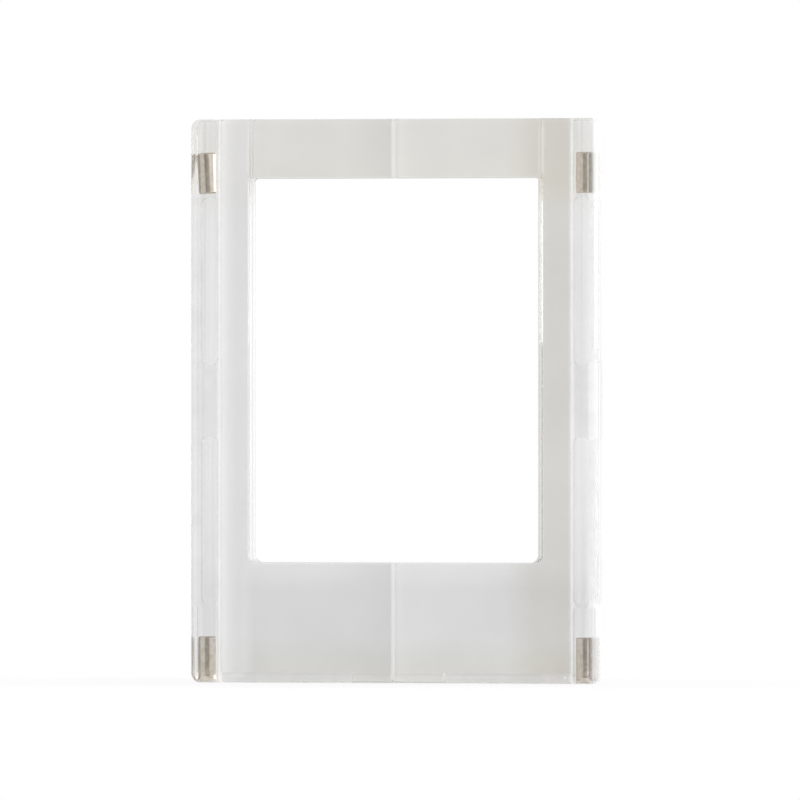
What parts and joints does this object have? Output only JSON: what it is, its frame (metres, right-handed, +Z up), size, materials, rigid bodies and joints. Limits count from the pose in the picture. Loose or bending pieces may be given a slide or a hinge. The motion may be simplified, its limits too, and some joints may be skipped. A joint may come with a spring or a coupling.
{
  "type": "magnetic photo frame",
  "caption": "Clear moulded frame for one mini instant print, open in the middle, with a loose cylinder magnet in a chamber at each corner.",
  "frame": {"origin": "under the middle of the base, at the plane where the two shells meet", "axes": "+Z up the frame, +X to the right seen from the front, front face towards -Y"},
  "size_m": [0.0664, 0.0056, 0.0904],
  "materials": {
    "clear_plastic": "clear moulded polystyrene, glossy, faintly grey",
    "nickel_plate": "bright nickel plate on a sintered neodymium magnet"
  },
  "bodies": {
    "frame": {"front_shell": "clear_plastic", "back_shell": "clear_plastic"},
    "magnet_top_left": {"magnet_top_left": "nickel_plate"},
    "magnet_top_right": {"magnet_top_right": "nickel_plate"},
    "magnet_bottom_left": {"magnet_bottom_left": "nickel_plate"},
    "magnet_bottom_right": {"magnet_bottom_right": "nickel_plate"}
  },
  "joints": [
    {"name": "magnet_top_left_slide", "type": "slide", "parent": "frame", "child": "magnet_top_left", "axis": [0, 0, 1], "range_m": [0, 0.00445]},
    {"name": "magnet_top_right_slide", "type": "slide", "parent": "frame", "child": "magnet_top_right", "axis": [0, 0, 1], "range_m": [0, 0.00445]},
    {"name": "magnet_bottom_left_slide", "type": "slide", "parent": "frame", "child": "magnet_bottom_left", "axis": [0, 0, 1], "range_m": [0, 0.00445]},
    {"name": "magnet_bottom_right_slide", "type": "slide", "parent": "frame", "child": "magnet_bottom_right", "axis": [0, 0, 1], "range_m": [0, 0.00445]}
  ]
}
